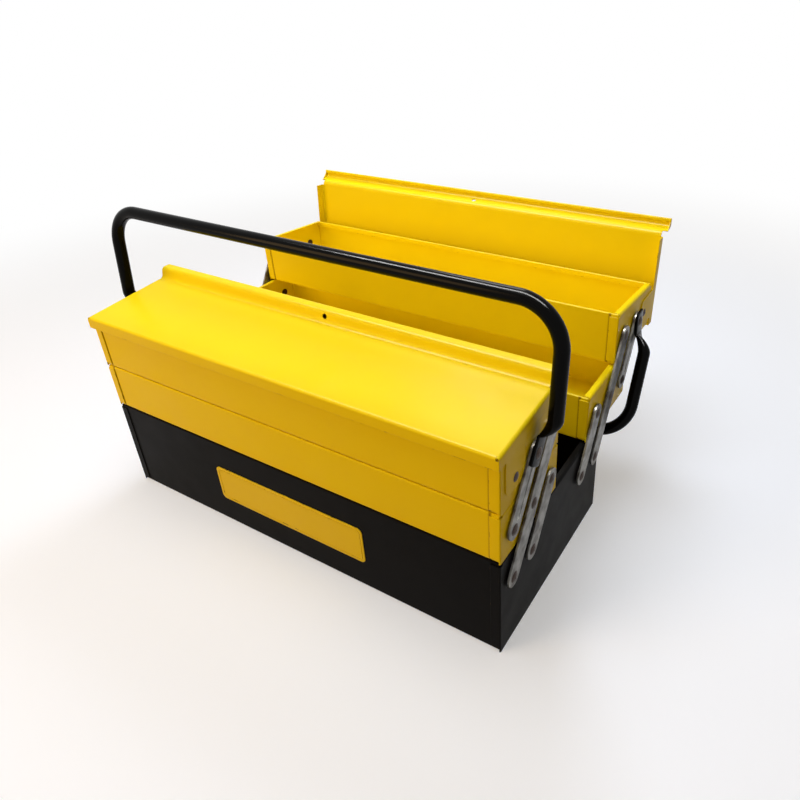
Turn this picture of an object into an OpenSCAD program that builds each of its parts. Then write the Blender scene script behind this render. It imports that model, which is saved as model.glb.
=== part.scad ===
// Cantilever tool box, pressed steel: a base trough and four trays that swing out on
// parallel links, two lids and two tube handles. Millimetres. The origin is the centre of
// the base's underside, X runs along the box, -Y is the front and +Z is up. The front
// trays are drawn closed and the rear trays open. "Outer" is the side away from the
// middle plane Y = 0, and "inner" the side that faces it.

/* [Body] */
// Length over the end panels
body_length = 450; // [300:10:600]
// Depth over the base, front to back
body_depth = 204; // [190:2:260]
// Height of the base
base_height = 100; // [90:1:130]
// Height of a middle tray
middle_height = 47.7; // [40:0.1:60]
// Height of a top tray's outer wall
top_outer_height = 45.3; // [40:0.1:60]
// Height of a top tray's inner wall
top_inner_height = 53.1; // [46:0.1:66]
// Gap between the inner walls of the front and rear trays
tray_gap = 3; // [1:0.5:10]
// Gap between one level and the next
stack_gap = 0.3; // [0.2:0.1:1]

/* [Sheet metal] */
// Thickness of every panel
sheet = 0.8; // [0.6:0.1:1.2]
// Inside radius of a trough's lower corners
trough_bend = 2; // [1:0.5:4]
// Inside radius of the hem along a long wall
hem_bend = 0.5; // [0.3:0.1:1]
// Length of the hem's returned edge
hem_length = 5; // [3:0.5:8]
// Length of the flange that wraps an end panel round the long walls
wrap_length = 9; // [6:0.5:14]
// Inside radius of that wrap
wrap_bend = 0.4; // [0.3:0.1:1]
// Height of the corner notch below the wrap
notch_height = 3.5; // [2:0.5:6]
// Width of the rolled edge on top of an end panel
rim_width = 6; // [5:0.5:9]
// Gap between the ends of that rolled edge and the hems
rim_end_gap = 0.4; // [0.2:0.1:1]
// Inside radius of that rolled edge
rim_bend = 2; // [1:0.25:2.5]

/* [Lids] */
// How far a lid's outer edge stands proud of the tray
lid_overhang = 3.5; // [2:0.5:6]
// Height of the lid's outer edge above the tray's outer wall
lid_rise = 10.4; // [9:0.1:14]
// Depth of the flange round a lid
lid_flange = 11.4; // [10.5:0.1:13]
// Slope of a lid's panel up towards the middle, in degrees
lid_slope = 4.6; // [2:0.1:7]
// Height of the bead above the lid's outer edge
bead_height = 18; // [14:0.5:22]
// Width of the flat along the bead's top
bead_flat = 4.5; // [3:0.5:8]
// Lean of the bead's outer face from upright, in degrees
bead_lean = 12; // [5:1:25]
// Outside radius of the bead's two upper corners
bead_round = 4.5; // [3:0.5:6]
// Radius of the fillet where the bead leaves the panel
bead_fillet = 5; // [3:0.5:8]
// Clearance of the bead's lower lip over the tray's inner wall
lip_clearance = 1; // [0.5:0.1:2]
// Width of that lip
lip_width = 8; // [6:0.5:10]
// How far the rear lid's bead reaches past the middle plane, over the front lid's bead
hook_reach = 2.8; // [2:0.1:4]
// Width of the flat along the rear bead's top
hook_flat = 5.2; // [5:0.1:9]
// Length of the hem along that flat's free edge
hook_hem = 2; // [1:0.5:3]
// Clearance between that hem and the top of the front bead
hook_clearance = 1.2; // [0.5:0.1:2]
// How far the rear bead's closed ends stand out past the end flanges
bead_bulge = 2.4; // [0.5:0.1:4]
// Radius of the lock hole in each bead
lock_hole_r = 2.5; // [1.5:0.25:3]
// Gap between a lid's end flange and the end panel
lid_side_gap = 0.3; // [0.3:0.1:0.8]
// How far a lid is open when its flange comes to the tray wall, in degrees
lid_open = 90; // [70:1:90]
// Width of the hinge ear under a lid's end flange
ear_width = 31; // [26:1:40]
// Distance of the ear's lower edge below the hinge rivet
ear_drop = 10; // [8:0.5:11]
// Radius of the ear's lower corners
ear_round = 8; // [4:0.5:9]

/* [Arms] */
// Distance between neighbouring arms, measured front to back
arm_pitch = 33; // [31:0.5:34]
// Height of the lowest pivots above the ground
pivot_low = 74; // [66:1:78]
// Height from one row of pivots to the next
pivot_rise = 50; // [49:0.5:52]
// Distance of the outermost pivots from the middle plane
pivot_outer = 85; // [83:0.5:87]
// Swing of every arm from closed to open, in degrees
arm_swing = 64.8; // [60:0.1:65]
// Width of an arm
arm_width = 18; // [14:0.5:20]
// Thickness of an arm
arm_thick = 1.8; // [1.5:0.1:2.5]
// Gap between a lid's end flange and the arms
arm_side_gap = 0.4; // [0.3:0.1:1]
// Width of the pressed groove in the short upper arms
groove_width = 5; // [3:0.5:7]
// Depth of that groove
groove_depth = 0.4; // [0.2:0.1:0.6]

/* [Rivets] */
// Radius of the shank of an arm rivet
rivet_r = 3; // [2.5:0.1:3.5]
// Running clearance round a rivet
pin_clearance = 0.08; // [0.04:0.01:0.1]
// Clearance endways between a rivet's shoulders and what turns on it
end_clearance = 0.1; // [0.05:0.01:0.2]
// Radius of a rivet's head
head_r = 5; // [4.5:0.1:6]
// Height of a rivet's head
head_height = 1.5; // [1:0.1:2]
// Radius of the flattened tail inside the panel
tail_r = 4.2; // [3.8:0.1:5]
// Thickness of that tail
tail_height = 1; // [0.8:0.1:1.5]
// Radius of the shank of a lid's hinge rivet
hinge_r = 2.5; // [2:0.1:3]
// Radius of the shoulder that a hinge rivet's shank stands on
hinge_shoulder_r = 3.5; // [3.2:0.1:4]
// Radius of a hinge rivet's head
hinge_head_r = 4; // [3.5:0.1:4.5]
// Height of a hinge rivet's head
hinge_head_height = 1.2; // [0.8:0.1:1.4]
// Distance of the lid hinge from the middle plane
hinge_y = 80; // [79:0.5:80]
// Height of the lid hinge below the lid's outer edge
hinge_drop = 34; // [34:0.1:36]

/* [Handles] */
// Diameter of the handle's tube
tube_d = 12; // [10:0.5:14]
// Wall of the tube
tube_wall = 1.2; // [1:0.1:2]
// Distance from the pivot to the middle of the grip
handle_reach = 117.5; // [116:0.5:125]
// Offset of the leg from the pivot, towards the middle of the box
leg_offset = 2; // [0:0.5:4]
// Radius of the corner bends at the tube's middle
corner_r = 35; // [25:1:50]
// Distance of the tube's middle outside the end panel
tube_stand_off = 16; // [15:0.5:20]
// Thickness of the flattened end
flat_thick = 2.4; // [2:0.1:3]
// Width of the flattened end
flat_width = 16.5; // [14:0.5:18]
// Length of the flattened end below the pivot
flat_tip = 11; // [9:0.5:12]
// Length of the flattened end above the pivot
flat_top = 14; // [12:0.5:15]
// Angle between the flattened end and the leg, in degrees
flat_bend = 27.8; // [20:0.1:33]
// Length of the shoulder from the flat to the full tube
shoulder = 13; // [11:0.5:16]
// Gap between the flattened end and the arm
flat_gap = 0.3; // [0.3:0.1:0.6]
// Lean of the front handle's legs towards the middle, in degrees
front_handle_lean = 5.5; // [0:0.5:15]
// Turn of the rear handle from upright, outwards and down, in degrees
rear_handle_turn = 204.5; // [195:0.5:205]

/* [Name plate] */
// Length of the blank plate on the base's front
plate_length = 180; // [100:5:200]
// Height of that plate
plate_height = 40; // [30:1:50]
// Thickness of that plate
plate_thick = 0.6; // [0.4:0.1:0.8]
// Radius of the plate's corners
plate_round = 5; // [2:0.5:8]
// Height of the plate's centre above the ground
plate_z = 51; // [40:1:60]

/* [Hidden] */
$fn = 48;
arc_step = 360 / $fn;
end_x = body_length / 2;
half_depth = body_depth / 2;
inner_y = -tray_gap / 2;

// Heights of the front trays, closed
middle_z = base_height + stack_gap;
middle_top = middle_z + middle_height;
top_z = middle_top + stack_gap;
top_outer_z = top_z + top_outer_height;
top_inner_z = top_z + top_inner_height;
rim_slope = atan((top_inner_z - top_outer_z) / (half_depth + inner_y));

// Layers of one end, outwards from the end panel
lid_face = end_x + lid_side_gap + sheet;
arm_face = lid_face + arm_side_gap;
arm_outer = arm_face + arm_thick;
flat_face = arm_outer + flat_gap;
flat_outer = flat_face + flat_thick;
tube_x = end_x + tube_stand_off;
shoulder_step = 0.1;
shoulder_disc = 1;
shoulder_lap = 0.5;
bore_start = 2;
flat_lap = 2;
cut = 1;

// Arms: closed they lean inwards, open they lean outwards
closed_lean = atan(arm_pitch / pivot_rise);
open_lean = arm_swing - closed_lean;
arm_length = norm([arm_pitch, pivot_rise]);
tray_shift = arm_length * (sin(closed_lean) + sin(open_lean));
tray_lift = arm_length * cos(open_lean) - pivot_rise;

// Pivots of the closed front side, as [y, z]
function pivot(column, row) = [-pivot_outer + column * arm_pitch, pivot_low + row * pivot_rise];
base_pivots = [pivot(0, 0), pivot(1, 0)];
middle_pivots = [pivot(0, 1), pivot(1, 1), pivot(2, 1)];
handle_pivot = pivot(1, 2);
top_pivot = pivot(2, 2);

// Lid: the outline is worked out from its overall width and height
lid_top = top_outer_z + lid_rise;
lid_outer_y = -half_depth - lid_overhang;
hinge = [-hinge_y, lid_top - hinge_drop];
lid_bend = 1.8;
lip_bend = 1;
lip_z = top_inner_z + lip_clearance;
bead_turn = 90 - bead_lean;
lid_corner = lid_bend + sheet;
lid_foot = [lid_outer_y + lid_corner * (1 - sin(lid_slope)), lid_top - lid_corner * (1 - cos(lid_slope))];
corner_lap = 2.2;
bead_top = lid_top + bead_height;
bead_round_in = bead_round - sheet;
fillet_fall = bead_fillet * (cos(lid_slope) - cos(bead_turn));
fillet_run = bead_fillet * (sin(bead_turn) - sin(lid_slope));
round_fall = bead_round * (1 - cos(bead_turn));
round_run = bead_round * sin(bead_turn);

// Where a bead's outer face starts, as [y, z] on its own side: the rear bead stands taller
// and nearer the middle, because it closes over the front bead
hem_edge = hem_bend + sheet;
front_bead_foot = [inner_y - bead_round - bead_flat - round_run, bead_top - round_fall];
rear_bead_top = bead_top + hook_clearance + 2 * hem_edge;
rear_bead_foot = [hook_reach - hook_flat - round_run, rear_bead_top - round_fall];

// Straight part of a bead's outer face and of the panel, for a bead whose face starts at p
function slope_width(p) = p[0] - lid_foot[0] - fillet_run;
function bead_side(p) =
    (p[1] - lid_foot[1] - fillet_fall - slope_width(p) * tan(lid_slope))
    / (sin(bead_turn) - cos(bead_turn) * tan(lid_slope));
function panel_run(p) = (slope_width(p) - bead_side(p) * cos(bead_turn)) / cos(lid_slope);
lid_body_x = lid_face - lid_corner;

// Lock hole: halfway up the bead's outer face
function lock_hole(p) = p - bead_side(p) / 2 * heading(bead_turn);

// Ends of an end panel's rolled edge, clear of the hems
hem_width = 2 * (sheet + hem_bend);
rim_inset = sheet + hem_width + rim_end_gap;

// ---- Helpers ----

// Pie slice of a ring, from angle start through sweep
module sector(r_in, r_out, start, sweep) {
    far = 2 * r_out;
    intersection() {
        difference() {
            circle(r_out);
            circle(r_in);
        }
        polygon(concat([[0, 0]], [for (k = [0 : 4]) far * heading(start + sweep * k / 4)]));
    }
}

// Edge view of a sheet folded at right angles, that starts along +X with its face on Y = 0
// and its thickness on the left. Each step is [run, turn in degrees, inside radius]; a left
// turn is positive.
module folded(steps, i = 0) {
    if (i < len(steps)) {
        run = steps[i][0];
        turn = steps[i][1];
        r = steps[i][2];
        if (run > 0) {
            square([run, sheet]);
        }
        translate([run, turn > 0 ? sheet + r : -r]) {
            if (turn != 0) {
                sector(r, r + sheet, turn > 0 ? -90 : 90 + turn, abs(turn));
            }
            rotate(turn) translate([0, turn > 0 ? -sheet - r : r]) folded(steps, i + 1);
        }
    }
}

// The points of such an edge view at a distance d inside the face, for a sheet that turns
// through any angles, from the point p with the heading h
function heading(a) = [cos(a), sin(a)];
function fold_points(steps, d, p, h, i = 0) =
    i == len(steps) ? [] :
    let (
        turn = steps[i][1],
        side = sign(turn),
        r = steps[i][2] + (turn > 0 ? sheet : 0),
        foot = p + steps[i][0] * heading(h),
        centre = foot + side * r * heading(h + 90),
        parts = ceil(abs(turn) / arc_step),
        bend = [for (k = [0 : parts]) centre - side * (r - side * d) * heading(h + 90 + turn * k / parts)],
        next = centre - side * r * heading(h + 90 + turn)
    )
    concat(
        i == 0 ? [p + d * heading(h + 90)] : [],
        turn == 0 ? [foot + d * heading(h + 90)] : bend,
        fold_points(steps, d, next, h + turn, i + 1)
    );

// Stand a flat outline drawn as [y, z] up and draw it out along X, centred
module along_x(length) {
    rotate([90, 0, 90]) linear_extrude(length, center = true) children();
}

// Round bar along X from x0 to x1 through [y, z]
module bar_x(x0, x1, r, at = [0, 0]) {
    translate([x0, at[0], at[1]]) rotate([0, 90, 0]) cylinder(h = x1 - x0, r = r);
}

module right_end() { children(); }
module left_end() { mirror([1, 0, 0]) children(); }

// Where the rear pieces stand: mirrored, and carried out as far as their trays
module rear_side(level) {
    translate([0, level * tray_shift, level * tray_lift]) mirror([0, 1, 0]) children();
}

// ---- Troughs ----

// Long walls and floor in one folded sheet, between the planes y0 and y1
module trough(y0, y1, z0, outer_top, inner_top) {
    hem = hem_bend + sheet;
    corner = trough_bend + sheet;
    along_x(2 * (end_x - sheet - wrap_bend)) {
        translate([y0 + 2 * hem, outer_top - hem - hem_length]) rotate(90) folded([
            [hem_length, 180, hem_bend],
            [outer_top - hem - z0 - corner, 90, trough_bend],
            [y1 - y0 - 2 * corner, 90, trough_bend],
            [inner_top - hem - z0 - corner, 180, hem_bend],
            [hem_length, 0, 0]
        ]);
    }
}

module tray_trough(z0, outer_top, inner_top) {
    color("gold") trough(-half_depth + sheet, inner_y - sheet, z0, outer_top, inner_top);
}

// ---- End panels ----

// Right-hand end panel: a plate that wraps round the long walls, with a rolled top edge
module end_panel(y0, y1, z0, outer_top, inner_top, pivots) {
    slope = atan((inner_top - outer_top) / (y1 - y0));
    corner = wrap_bend + sheet;
    roll = rim_bend + sheet;
    tallest = max(outer_top, inner_top) - z0;
    difference() {
        union() {
            difference() {
                translate([end_x - wrap_length, y0, z0]) linear_extrude(tallest) folded([
                    [wrap_length - corner, 90, wrap_bend],
                    [y1 - y0 - 2 * corner, 90, wrap_bend],
                    [wrap_length - corner, 0, 0]
                ]);
                // everything above the rolled edge
                translate([0, y0, outer_top]) rotate([slope, 0, 0])
                    translate([end_x - 2 * wrap_length, -body_depth, -roll])
                        cube([4 * wrap_length, 4 * body_depth, tallest]);
                // corner notches
                for (y = [y0, y1])
                    translate([end_x - 2 * wrap_length, y - 2 * sheet, z0 - cut])
                        cube([2 * wrap_length - corner, 4 * sheet, notch_height + cut]);
            }
            translate([0, y0, outer_top]) rotate([slope, 0, 0])
                translate([end_x, (y1 - y0) / cos(slope) - rim_inset, -roll])
                    rotate([90, 0, 0]) linear_extrude((y1 - y0) / cos(slope) - 2 * rim_inset)
                        rotate(90) folded([[0, 90, rim_bend], [rim_width - roll, 0, 0]]);
        }
        for (p = pivots) bar_x(end_x - 2 * sheet, end_x + cut, rivet_r, p);
    }
}

module base_end() {
    rear_pivots = [for (p = base_pivots) [-p[0], p[1]]];
    color("dimgray")
        end_panel(-half_depth, half_depth, 0, base_height, base_height, concat(base_pivots, rear_pivots));
}

module middle_end() {
    color("gold") end_panel(-half_depth, inner_y, middle_z, middle_top, middle_top, middle_pivots);
}

module top_end() {
    color("gold") difference() {
        end_panel(-half_depth, inner_y, top_z, top_outer_z, top_inner_z, [handle_pivot, top_pivot]);
        bar_x(end_x - 2 * sheet, end_x + cut, hinge_r, hinge);
    }
}

// ---- Rivets ----

// Domed head with its flat side on X = 0
module head(r, height) {
    ball = (r * r + height * height) / (2 * height);
    rotate([0, 90, 0]) intersection() {
        translate([0, 0, height - ball]) sphere(ball);
        cylinder(h = height, r = r);
    }
}

// Rivet in the right-hand end panel; what turns on it lies between face and outer
module rivet(at, face, outer, r, shoulder_r, head_radius, height) {
    translate([0, at[0], at[1]]) {
        bar_x(end_x - sheet - tail_height, end_x - sheet, tail_r);
        bar_x(end_x - sheet, outer + end_clearance, r);
        bar_x(end_x, face - end_clearance, shoulder_r);
        translate([outer + end_clearance, 0, 0]) head(head_radius, height);
    }
}

module arm_rivet(at, outer = arm_outer) {
    rivet(at, arm_face, outer, rivet_r, head_r, head_r, head_height);
}

module both_ends() {
    right_end() children();
    left_end() children();
}

module base_rivets() {
    color("sienna") both_ends() for (p = base_pivots) {
        arm_rivet(p);
        arm_rivet([-p[0], p[1]]);
    }
}

module middle_rivets() {
    color("sienna") both_ends() for (p = middle_pivots) arm_rivet(p);
}

module top_rivets() {
    color("sienna") both_ends() {
        arm_rivet(handle_pivot, flat_outer);
        arm_rivet(top_pivot);
    }
}

module hinge_rivets() {
    color("sienna") both_ends()
        rivet(hinge, end_x + lid_side_gap, lid_face, hinge_r, hinge_shoulder_r, hinge_head_r,
            hinge_head_height);
}

// ---- Lids ----

// Steps of a lid's edge view. The front lid's starts at the tip of its lip and runs up the
// upright leg; the rear lid's starts at the free edge of its hem
function panel_steps(p) = [
    [bead_side(p), lid_slope - bead_turn, bead_fillet],
    [panel_run(p), 90 - lid_slope, lid_bend],
    [lid_flange - lid_corner, 0, 0]
];
front_lid_steps = concat([
    [lip_width - lip_bend - sheet, 90, lip_bend],
    [bead_top - bead_round - lip_z - lip_bend - sheet, 90, bead_round_in],
    [bead_flat, bead_turn, bead_round_in]
], panel_steps(front_bead_foot));
rear_lid_steps = concat([
    [hook_hem, 180, hem_bend],
    [hook_flat - hem_edge, bead_turn, bead_round_in]
], panel_steps(rear_bead_foot));
front_lid_edge = [inner_y - lip_width, lip_z];
rear_lid_edge = [hook_reach - hem_edge - hook_hem, rear_bead_top - 2 * hem_edge];

// Lid without its ears, drawn with its panel level and the panel's outer end at the origin.
// Its edge view starts at edge, and the bead's ends are closed at bead_x
module lid_sheet(steps, edge, bead_x) {
    panel = len(steps) - 2;
    to_edge = edge - lid_foot;
    start = [to_edge * heading(lid_slope), to_edge * heading(lid_slope + 90)];
    face = fold_points(steps, 0, start, -lid_slope);
    back = fold_points(steps, sheet, start, -lid_slope);
    last = len(face) - 1;
    along_x(2 * lid_body_x) polygon(concat(face, [for (k = [last : -1 : 0]) back[k]]));
    bead = [for (k = [0 : panel - 1]) k < panel - 1 ? steps[k] : [steps[k][0], 0, 0]];
    bead_back = fold_points(bead, sheet, start, -lid_slope);
    bead_last = len(bead_back) - 1;
    bead_face = [for (k = [0 : bead_last]) face[k]];
    if (bead_x > lid_body_x) {
        along_x(2 * bead_x) polygon(concat(bead_face, [for (k = [bead_last : -1 : 0]) bead_back[k]]));
    }
    both_ends() translate([bead_x - sheet, 0, 0]) rotate([90, 0, 90]) linear_extrude(sheet) polygon(bead_face);
    // the front flange runs on to the corners, and the end flanges run up to it
    along_x(2 * lid_face) polygon([face[last - 1], face[last], back[last], back[last - 1]]);
    both_ends() translate([lid_face, steps[panel][0], -lid_flange]) rotate([90, 0, 0])
        linear_extrude(steps[panel][0] + corner_lap) rotate(90) folded([[lid_flange - lid_corner, 90, lid_bend]]);
}

// Ear at the right-hand end of a lid, with its lower corners rounded
module hinge_ear() {
    low = hinge[1] - ear_drop;
    top = lid_top - lid_flange / 2;
    translate([lid_face - sheet, hinge[0], low]) rotate([90, 0, 90]) linear_extrude(sheet) {
        translate([-ear_width / 2, ear_round]) square([ear_width, top - low - ear_round]);
        translate([ear_round - ear_width / 2, 0]) square([ear_width - 2 * ear_round, 2 * ear_round]);
        for (side = [-1, 1]) translate([side * (ear_width / 2 - ear_round), ear_round]) circle(ear_round);
    }
}

module lid(steps, edge, bead_x, lock) {
    color("gold") difference() {
        union() {
            translate([0, lid_foot[0], lid_foot[1]]) rotate([lid_slope, 0, 0]) lid_sheet(steps, edge, bead_x);
            both_ends() hinge_ear();
        }
        both_ends() bar_x(end_x, lid_face + cut, hinge_r + pin_clearance, hinge);
        translate([0, lock[0], lock[1]]) rotate([90 - bead_lean, 0, 0])
            cylinder(h = 4 * sheet, r = lock_hole_r, center = true);
    }
}

module front_lid() { lid(front_lid_steps, front_lid_edge, lid_body_x, lock_hole(front_bead_foot)); }

// ---- Arms ----

// Right-hand arm that stands on its lower pivot, with its rivet holes at the given heights
module arm(holes, grooved = false) {
    length = holes[len(holes) - 1];
    hole_r = rivet_r + pin_clearance;
    color("silver") difference() {
        translate([arm_face, 0, 0]) rotate([90, 0, 90]) linear_extrude(arm_thick) {
            translate([-arm_width / 2, 0]) square([arm_width, length]);
            circle(arm_width / 2);
            translate([0, length]) circle(arm_width / 2);
        }
        for (z = holes) bar_x(arm_face - cut, arm_outer + cut, hole_r, [0, z]);
        if (grooved) {
            margin = head_r + groove_width;
            translate([arm_outer - groove_depth, 0, 0]) rotate([90, 0, 90]) linear_extrude(cut) {
                translate([-groove_width / 2, margin]) square([groove_width, length - 2 * margin]);
                for (z = [margin, length - margin]) translate([0, z]) circle(groove_width / 2);
            }
        }
    }
}

module long_arm() { arm([0, arm_length, 2 * arm_length]); }
module short_arm() { arm([0, arm_length]); }
module upper_arm() { arm([0, arm_length], grooved = true); }

// Stand an arm on a front pivot, closed
module on_front(at) {
    translate([0, at[0], at[1]]) rotate([-closed_lean, 0, 0]) children();
}

// Stand an arm on the rear pivot opposite a front one, open; level says which tray holds it
module on_rear(at, level) {
    translate([0, level * tray_shift - at[0], level * tray_lift + at[1]]) rotate([-open_lean, 0, 0]) children();
}

// ---- Handles ----

// Round bar bent like a handle with upright legs, from foot upwards: the tube or its bore
module bent_bar(r, foot) {
    both_ends() {
        translate([tube_x, leg_offset, foot]) cylinder(h = handle_reach - corner_r - foot, r = r);
        translate([tube_x - corner_r, leg_offset, handle_reach - corner_r]) rotate([90, 0, 0])
            rotate_extrude(angle = 90) translate([corner_r, 0]) circle(r);
    }
    bar_x(corner_r - tube_x, tube_x - corner_r, r, [leg_offset, handle_reach]);
}

// Handle with its pivots on the X axis and its legs upright
module handle() {
    tube_r = tube_d / 2;
    foot = flat_top + shoulder;
    color([0.05, 0.05, 0.05]) difference() {
        union() {
            bent_bar(tube_r, foot + shoulder_lap);
            both_ends() {
                rotate([-flat_bend, 0, 0]) translate([flat_face, -flat_width / 2, -flat_tip])
                    cube([flat_thick, flat_width, flat_tip + flat_top]);
                hull() {
                    rotate([-flat_bend, 0, 0])
                        translate([flat_face + shoulder_step, shoulder_step - flat_width / 2, flat_top - flat_lap])
                            cube([flat_thick - 2 * shoulder_step, flat_width - 2 * shoulder_step, shoulder_disc]);
                    translate([tube_x, leg_offset, foot])
                        cylinder(h = shoulder_disc, r = tube_r + shoulder_step, $fn = 32);
                }
            }
        }
        bent_bar(tube_r - tube_wall, foot + bore_start);
        both_ends() bar_x(flat_face - cut, flat_outer + cut, rivet_r + pin_clearance);
    }
}

module front_handle() {
    translate([0, handle_pivot[0], handle_pivot[1]]) rotate([-front_handle_lean, 0, 0]) handle();
}

module rear_handle() {
    translate([0, 2 * tray_shift - handle_pivot[0], 2 * tray_lift + handle_pivot[1]])
        rotate([-rear_handle_turn, 0, 0]) mirror([0, 1, 0]) handle();
}

module rear_lid() {
    rear_side(2) translate([0, hinge[0], hinge[1]]) rotate([lid_open, 0, 0]) translate([0, -hinge[0], -hinge[1]])
        lid(rear_lid_steps, rear_lid_edge, lid_face + bead_bulge, lock_hole(rear_bead_foot));
}

// ---- Base and name plate ----

module base_trough() {
    color("dimgray") trough(-half_depth + sheet, half_depth - sheet, 0, base_height, base_height);
}

module name_plate() {
    flat = [plate_length - 2 * plate_round, plate_height - 2 * plate_round];
    color("yellow") translate([0, -half_depth + sheet, plate_z]) rotate([90, 0, 0]) linear_extrude(plate_thick) {
        square([plate_length, flat[1]], center = true);
        square([flat[0], plate_height], center = true);
        for (x = [-1, 1], z = [-1, 1]) translate([x * flat[0] / 2, z * flat[1] / 2]) circle(plate_round);
    }
}

module middle_trough() { tray_trough(middle_z, middle_top, middle_top); }
module top_trough() { tray_trough(top_z, top_outer_z, top_inner_z); }

// ---- Nodes ----

base_trough();
left_end() base_end();  // base_end_left
right_end() base_end();  // base_end_right
base_rivets();
name_plate();

middle_trough();  // front_middle_trough
left_end() middle_end();  // front_middle_end_left
right_end() middle_end();  // front_middle_end_right
middle_rivets();  // front_middle_rivets
top_trough();  // front_top_trough
left_end() top_end();  // front_top_end_left
right_end() top_end();  // front_top_end_right
top_rivets();  // front_top_rivets
hinge_rivets();  // front_hinge_rivets
front_lid();
front_handle();
left_end() on_front(base_pivots[0]) long_arm();  // front_long_arm_left
right_end() on_front(base_pivots[0]) long_arm();  // front_long_arm_right
left_end() on_front(base_pivots[1]) short_arm();  // front_lower_arm_left
right_end() on_front(base_pivots[1]) short_arm();  // front_lower_arm_right
left_end() on_front(middle_pivots[0]) upper_arm();  // front_upper_arm_left
right_end() on_front(middle_pivots[0]) upper_arm();  // front_upper_arm_right

rear_side(1) middle_trough();  // rear_middle_trough
left_end() rear_side(1) middle_end();  // rear_middle_end_left
right_end() rear_side(1) middle_end();  // rear_middle_end_right
rear_side(1) middle_rivets();  // rear_middle_rivets
rear_side(2) top_trough();  // rear_top_trough
left_end() rear_side(2) top_end();  // rear_top_end_left
right_end() rear_side(2) top_end();  // rear_top_end_right
rear_side(2) top_rivets();  // rear_top_rivets
rear_side(2) hinge_rivets();  // rear_hinge_rivets
rear_lid();
rear_handle();
left_end() on_rear(base_pivots[0], 0) long_arm();  // rear_long_arm_left
right_end() on_rear(base_pivots[0], 0) long_arm();  // rear_long_arm_right
left_end() on_rear(base_pivots[1], 0) short_arm();  // rear_lower_arm_left
right_end() on_rear(base_pivots[1], 0) short_arm();  // rear_lower_arm_right
left_end() on_rear(middle_pivots[0], 1) upper_arm();  // rear_upper_arm_left
right_end() on_rear(middle_pivots[0], 1) upper_arm();  // rear_upper_arm_right
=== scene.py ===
"""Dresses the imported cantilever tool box: enamelled steel trays, zinc arms and tube handles."""

from __future__ import annotations

import logging
import math
from collections.abc import Iterable
from dataclasses import dataclass, replace
from enum import Enum

import bmesh
import bpy
from mathutils import Euler, Matrix, Vector

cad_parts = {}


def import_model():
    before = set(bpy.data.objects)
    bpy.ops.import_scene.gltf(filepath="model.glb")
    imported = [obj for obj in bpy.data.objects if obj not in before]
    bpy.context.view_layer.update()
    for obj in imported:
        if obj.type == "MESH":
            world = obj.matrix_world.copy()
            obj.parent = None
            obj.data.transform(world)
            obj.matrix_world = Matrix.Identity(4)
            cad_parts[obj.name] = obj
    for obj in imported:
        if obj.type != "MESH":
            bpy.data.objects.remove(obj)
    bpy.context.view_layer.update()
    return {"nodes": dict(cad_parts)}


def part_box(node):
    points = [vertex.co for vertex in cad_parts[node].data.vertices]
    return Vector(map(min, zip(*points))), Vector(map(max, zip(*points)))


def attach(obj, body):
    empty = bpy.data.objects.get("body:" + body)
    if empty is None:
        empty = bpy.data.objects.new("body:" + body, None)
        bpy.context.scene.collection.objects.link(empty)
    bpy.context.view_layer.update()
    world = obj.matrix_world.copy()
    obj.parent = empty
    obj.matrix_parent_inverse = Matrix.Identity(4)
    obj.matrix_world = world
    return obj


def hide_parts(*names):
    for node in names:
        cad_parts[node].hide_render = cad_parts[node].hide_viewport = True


log = logging.getLogger("cantilever_tool_box")

MM = 0.001
WHITE = (1.0, 1.0, 1.0, 1.0)

# sockets of a node that mixes colours; its names don't tell them apart
MIX_FACTOR, MIX_A, MIX_B, MIX_RESULT = 0, 6, 7, 2

# rays that look for a rounded edge; four are enough for edges under a millimetre
BEVEL_SAMPLES = 4

# middle, heading, direction of the width, half thickness and half width of a tube's section
Section = tuple[Vector, Vector, Vector, float, float]
Ring = list[bmesh.types.BMVert]


class Side(Enum):
    """The half of the box that a tray, lid, arm or handle belongs to."""

    FRONT = "front"
    REAR = "rear"


class End(Enum):
    """An end of the box, as seen from the front."""

    LEFT = "left"
    RIGHT = "right"


class Level(Enum):
    """A tray's storey above the base."""

    MIDDLE = "middle"
    TOP = "top"


class Arm(Enum):
    """The three arms at each end of one side."""

    LONG = "long"
    LOWER = "lower"
    UPPER = "upper"


def linear(hex_colour: str) -> tuple[float, float, float, float]:
    """Turns an sRGB hex colour into linear RGBA.

    Args:
        hex_colour: Colour such as "#F2C40F".

    Returns:
        Red, green, blue and alpha, linear.
    """
    code = hex_colour.lstrip("#")
    channels = [int(code[i : i + 2], 16) / 255 for i in (0, 2, 4)]
    red, green, blue = (
        c / 12.92 if c <= 0.04045 else ((c + 0.055) / 1.055) ** 2.4 for c in channels
    )
    return (red, green, blue, 1.0)


def per_metre(size_mm: float) -> float:
    """Texture scale whose features are size_mm across."""
    return 1000.0 / size_mm


def add_node(
    tree: bpy.types.NodeTree,
    kind: str,
    settings: dict[str, object] | None = None,
    inputs: dict[str | int, object] | None = None,
) -> bpy.types.Node:
    """Adds a node with its settings, values and links.

    Args:
        tree: Node tree that the node goes into.
        kind: Blender's name of the node's type.
        settings: Properties of the node itself.
        inputs: Each input, by name or number, with its value or the socket linked to it.

    Returns:
        The new node.
    """
    node = tree.nodes.new(kind)
    for name, value in (settings or {}).items():
        setattr(node, name, value)
    for name, value in (inputs or {}).items():
        if isinstance(value, bpy.types.NodeSocket):
            tree.links.new(value, node.inputs[name])
        else:
            node.inputs[name].default_value = value
    return node


def new_material(name: str) -> tuple[bpy.types.Material, bpy.types.NodeTree]:
    """Makes an empty node material.

    Args:
        name: Name of the material.

    Returns:
        The material and its node tree.
    """
    material = bpy.data.materials.new(name)
    material.use_nodes = True
    material.node_tree.nodes.clear()
    return material, material.node_tree


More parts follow.
